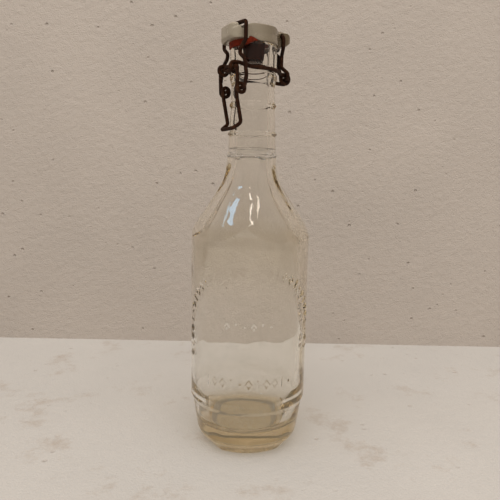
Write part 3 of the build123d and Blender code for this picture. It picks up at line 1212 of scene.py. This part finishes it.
@dataclass
class Seal:
    """Red rubber ring whose flange hangs over the lip on the lever's side."""

    top: float = 231.4 * MM
    lip_top: float = 229.6 * MM
    lip_radius: float = 13.1 * MM
    radius: float = 13.1 * MM
    bulge: float = 0.75 * MM
    droop: float = 2.8 * MM
    droop_turn: float = radians(188.0)
    droop_half: float = radians(72.0)
    droop_rise: float = 1.6
    wobble: float = 0.12 * MM
    wobbles: int = 7
    hole: float = 4.65 * MM
    sleeve_top: float = 6.4 * MM
    sleeve_end: float = 5.6 * MM
    sleeve_low: float = 221.0 * MM
    rim_round: float = 0.7 * MM
    rim_edge: float = 0.2 * MM
    sleeve_bevel: float = 0.6 * MM
    columns: int = 180

    def outline(self, turn: float) -> Outline:
        """Section of the ring in one direction.

        Args:
            turn: the direction.

        Returns:
            Radius and height of each corner.
        """
        away = abs((turn - self.droop_turn + pi) % (2 * pi) - pi) / self.droop_half
        share = eased(self.droop_rise * (1.0 - away))
        wobble = self.wobble * sin(self.wobbles * turn) * share
        out = self.radius + self.bulge * share
        low = self.lip_top - (self.droop + wobble) * share
        inner = self.lip_radius + 0.05 * MM * share
        rim, edge, bevel = self.rim_round, self.rim_edge, self.sleeve_bevel
        return [
            (self.hole, self.top), (out - rim, self.top), (out - edge, self.top - edge),
            (out, self.top - rim), (out, low + 0.5 * MM), (out - 0.15 * MM, low + 0.1 * MM),
            (inner, low), (inner - 0.01 * MM, self.lip_top), (self.sleeve_top, self.lip_top),
            (self.sleeve_top - 0.1 * MM, self.lip_top - bevel), (self.sleeve_end, self.sleeve_low + bevel),
            (self.sleeve_end - 0.4 * MM, self.sleeve_low), (self.hole, self.sleeve_low),
        ]

    def build(self, finish: bpy.types.Material) -> bpy.types.Object:
        """Build the seal.

        Args:
            finish: its material.

        Returns:
            The seal.
        """
        points = []
        faces = []
        count = len(self.outline(0.0))
        for column in range(self.columns):
            turn = 2 * pi * column / self.columns
            points += [(radius * cos(turn), radius * sin(turn), z) for radius, z in self.outline(turn)]
            after = (column + 1) % self.columns
            for row in range(count):
                step = (row + 1) % count
                faces.append((column * count + row, column * count + step, after * count + step, after * count + row))
        data = bpy.data.meshes.new("rubber_seal")
        data.from_pydata(points, [], faces)
        data.polygons.foreach_set("use_smooth", [True] * len(data.polygons))
        return add_object("rubber_seal", data, finish)


@dataclass
class Closure:
    """Wires, whose solids are right as they are."""

    wires: tuple[str, ...] = ("neck_wire", "hinge_link", "front_bail", "lever")

    def dress(self, nodes: dict[str, bpy.types.Object], wire: bpy.types.Material) -> None:
        """Give each wire its finish.

        Args:
            nodes: the solids by name.
            wire: finish of the wires.
        """
        for name in self.wires:
            solid = nodes[name]
            if not solid.material_slots:
                solid.data.materials.append(wire)
            for slot in solid.material_slots:
                slot.material = wire


@dataclass(frozen=True)
class Lamp:
    """A soft lamp, hung by how far it is towards the camera, to the side and above the table."""

    name: str
    near: float
    side: float
    above: float
    size: tuple[float, float]
    power: float
    tone: Tone
    mirrored: bool = True


@dataclass
class Studio:
    """Floor, wall, lamps, world and camera."""

    camera_turn: float = radians(241.0)
    camera_distance: float = 0.292
    camera_height: float = 0.1557
    pitch: float = radians(8.0)
    roll: float = radians(1.1)
    lens: float = 36.0
    wall_distance: float = 0.175
    reach: float = 3.0
    lit_height: float = 0.12
    floor: Ground = Ground("pale_floor", (0.535, 0.506, 0.471), depth=0.7 * MM, scale=150.0, dirt=0.6)
    wall: Ground = Ground("pale_wall", (0.51, 0.451, 0.399), depth=1.6 * MM, scale=190.0, dirt=0.0, one_sided=True)
    lamps: tuple[Lamp, ...] = (
        Lamp("overhead", 0.9, 0.0, 2.0, (3.0, 3.0), 68.0, (1.0, 0.97, 0.94), mirrored=False),
        Lamp("window", 0.2, -0.75, 1.05, (0.13, 0.08), 0.27, (0.36, 0.70, 1.0)),
        Lamp("warm", 0.5, 0.3, 1.17, (0.24, 0.035), 0.36, (1.0, 0.92, 0.82)),
    )
    world_tone: Tone = (0.56, 0.50, 0.43)
    world_strength: float = 0.55
    mirror_loss: float = 0.55
    bounces: int = 32

    def towards_camera(self) -> Vector:
        """Level direction from the bottle to the camera."""
        return Vector((cos(self.camera_turn), sin(self.camera_turn), 0))

    def add_camera(self) -> None:
        """Place the camera and make it the scene's own."""
        data = bpy.data.cameras.new("view")
        data.sensor_width = 36.0
        data.lens = self.lens
        camera = bpy.data.objects.new("view", data)
        bpy.context.scene.collection.objects.link(camera)
        camera.location = self.towards_camera() * self.camera_distance + Vector((0, 0, self.camera_height))
        ahead = -self.towards_camera() * cos(self.pitch) - Vector((0, 0, sin(self.pitch)))
        aim = ahead.to_track_quat("-Z", "Y")
        camera.rotation_mode = "QUATERNION"
        camera.rotation_quaternion = aim @ Quaternion((0, 0, 1), self.roll)
        bpy.context.scene.camera = camera

    def add_plane(self, name: str, finish: bpy.types.Material, place: Vector, facing: Vector) -> None:
        """Add a large flat surface.

        Args:
            name: its name.
            finish: its material.
            place: its middle.
            facing: the way it faces.
        """
        mesh = bmesh.new()
        bmesh.ops.create_grid(mesh, x_segments=12, y_segments=12, size=self.reach / 2)
        data = bpy.data.meshes.new(name)
        mesh.to_mesh(data)
        mesh.free()
        piece = add_object(name, data, finish)
        piece.rotation_mode = "QUATERNION"
        piece.rotation_quaternion = Vector((0, 0, 1)).rotation_difference(facing)
        piece.location = place

    def add_lamp(self, lamp: Lamp) -> None:
        """Hang one lamp and point it at the bottle.

        Args:
            lamp: the lamp.
        """
        near = self.towards_camera()
        side = Vector((-near.y, near.x, 0))
        data = bpy.data.lights.new(lamp.name, "AREA")
        data.shape = "RECTANGLE"
        data.size, data.size_y = lamp.size
        data.energy = lamp.power
        data.color = lamp.tone
        hung = bpy.data.objects.new(lamp.name, data)
        bpy.context.scene.collection.objects.link(hung)
        hung.location = near * lamp.near + side * lamp.side + Vector((0, 0, lamp.above))
        hung.rotation_mode = "QUATERNION"
        hung.rotation_quaternion = (Vector((0, 0, self.lit_height)) - hung.location).to_track_quat("-Z", "Y")
        hung.visible_glossy = lamp.mirrored
        hung.visible_transmission = lamp.mirrored

    def add_world(self) -> None:
        """Light everything softly from all round."""
        bench = Bench("soft_room", for_world=True)
        mirrored = bench.node("ShaderNodeLightPath", {}, {}, "Is Glossy Ray")
        strength = (1.0 - mirrored * self.mirror_loss) * self.world_strength
        light = bench.node("ShaderNodeBackground", {}, {"Color": (*self.world_tone, 1.0), "Strength": strength})
        bench.node("ShaderNodeOutputWorld", {}, {"Surface": light})
        bpy.context.scene.world = bench.owner

    def build(self) -> None:
        """Set up the studio."""
        scene = bpy.context.scene
        scene.view_settings.view_transform = "Standard"
        scene.cycles.max_bounces = self.bounces
        scene.cycles.glossy_bounces = self.bounces
        scene.cycles.transmission_bounces = self.bounces
        self.add_camera()
        near = self.towards_camera()
        floor, wall = self.floor.make(), self.wall.make()
        self.add_plane("floor", floor, near * (self.reach / 2 - self.wall_distance), Vector((0, 0, 1)))
        self.add_plane("wall", wall, -near * self.wall_distance + Vector((0, 0, self.reach / 2)), near)
        self.add_world()
        for lamp in self.lamps:
            self.add_lamp(lamp)


def fit(piece: bpy.types.Object, body: Body, node: str) -> None:
    """Say what a piece rides on and replaces, and report it.

    Args:
        piece: the piece.
        body: the body that it rides on.
        node: the solid that it replaces.
    """
    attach(piece, body.value)
    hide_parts(node)
    LOG.info("%s: %d faces", piece.name, len(piece.data.polygons))


def main() -> None:
    """Build every piece in order and report it."""
    logging.basicConfig(level=logging.INFO, format="%(message)s")
    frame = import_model()
    nodes = frame["nodes"]
    Studio().build()
    LOG.info("studio ready")
    bottle = GlassBottle().build(BottleGlass().make())
    fit(bottle, Body.ROOT, "bottle")
    stopper = Stopper().build(nodes["stopper"], Porcelain().make())
    fit(stopper, Body.STOPPER, "stopper")
    seal = Seal().build(RedRubber().make())
    fit(seal, Body.STOPPER, "washer")
    Closure().dress(nodes, RustyWire().make())
    LOG.info("wires: %s", ", ".join(Closure.wires))


if __name__ == "__main__":
    main()
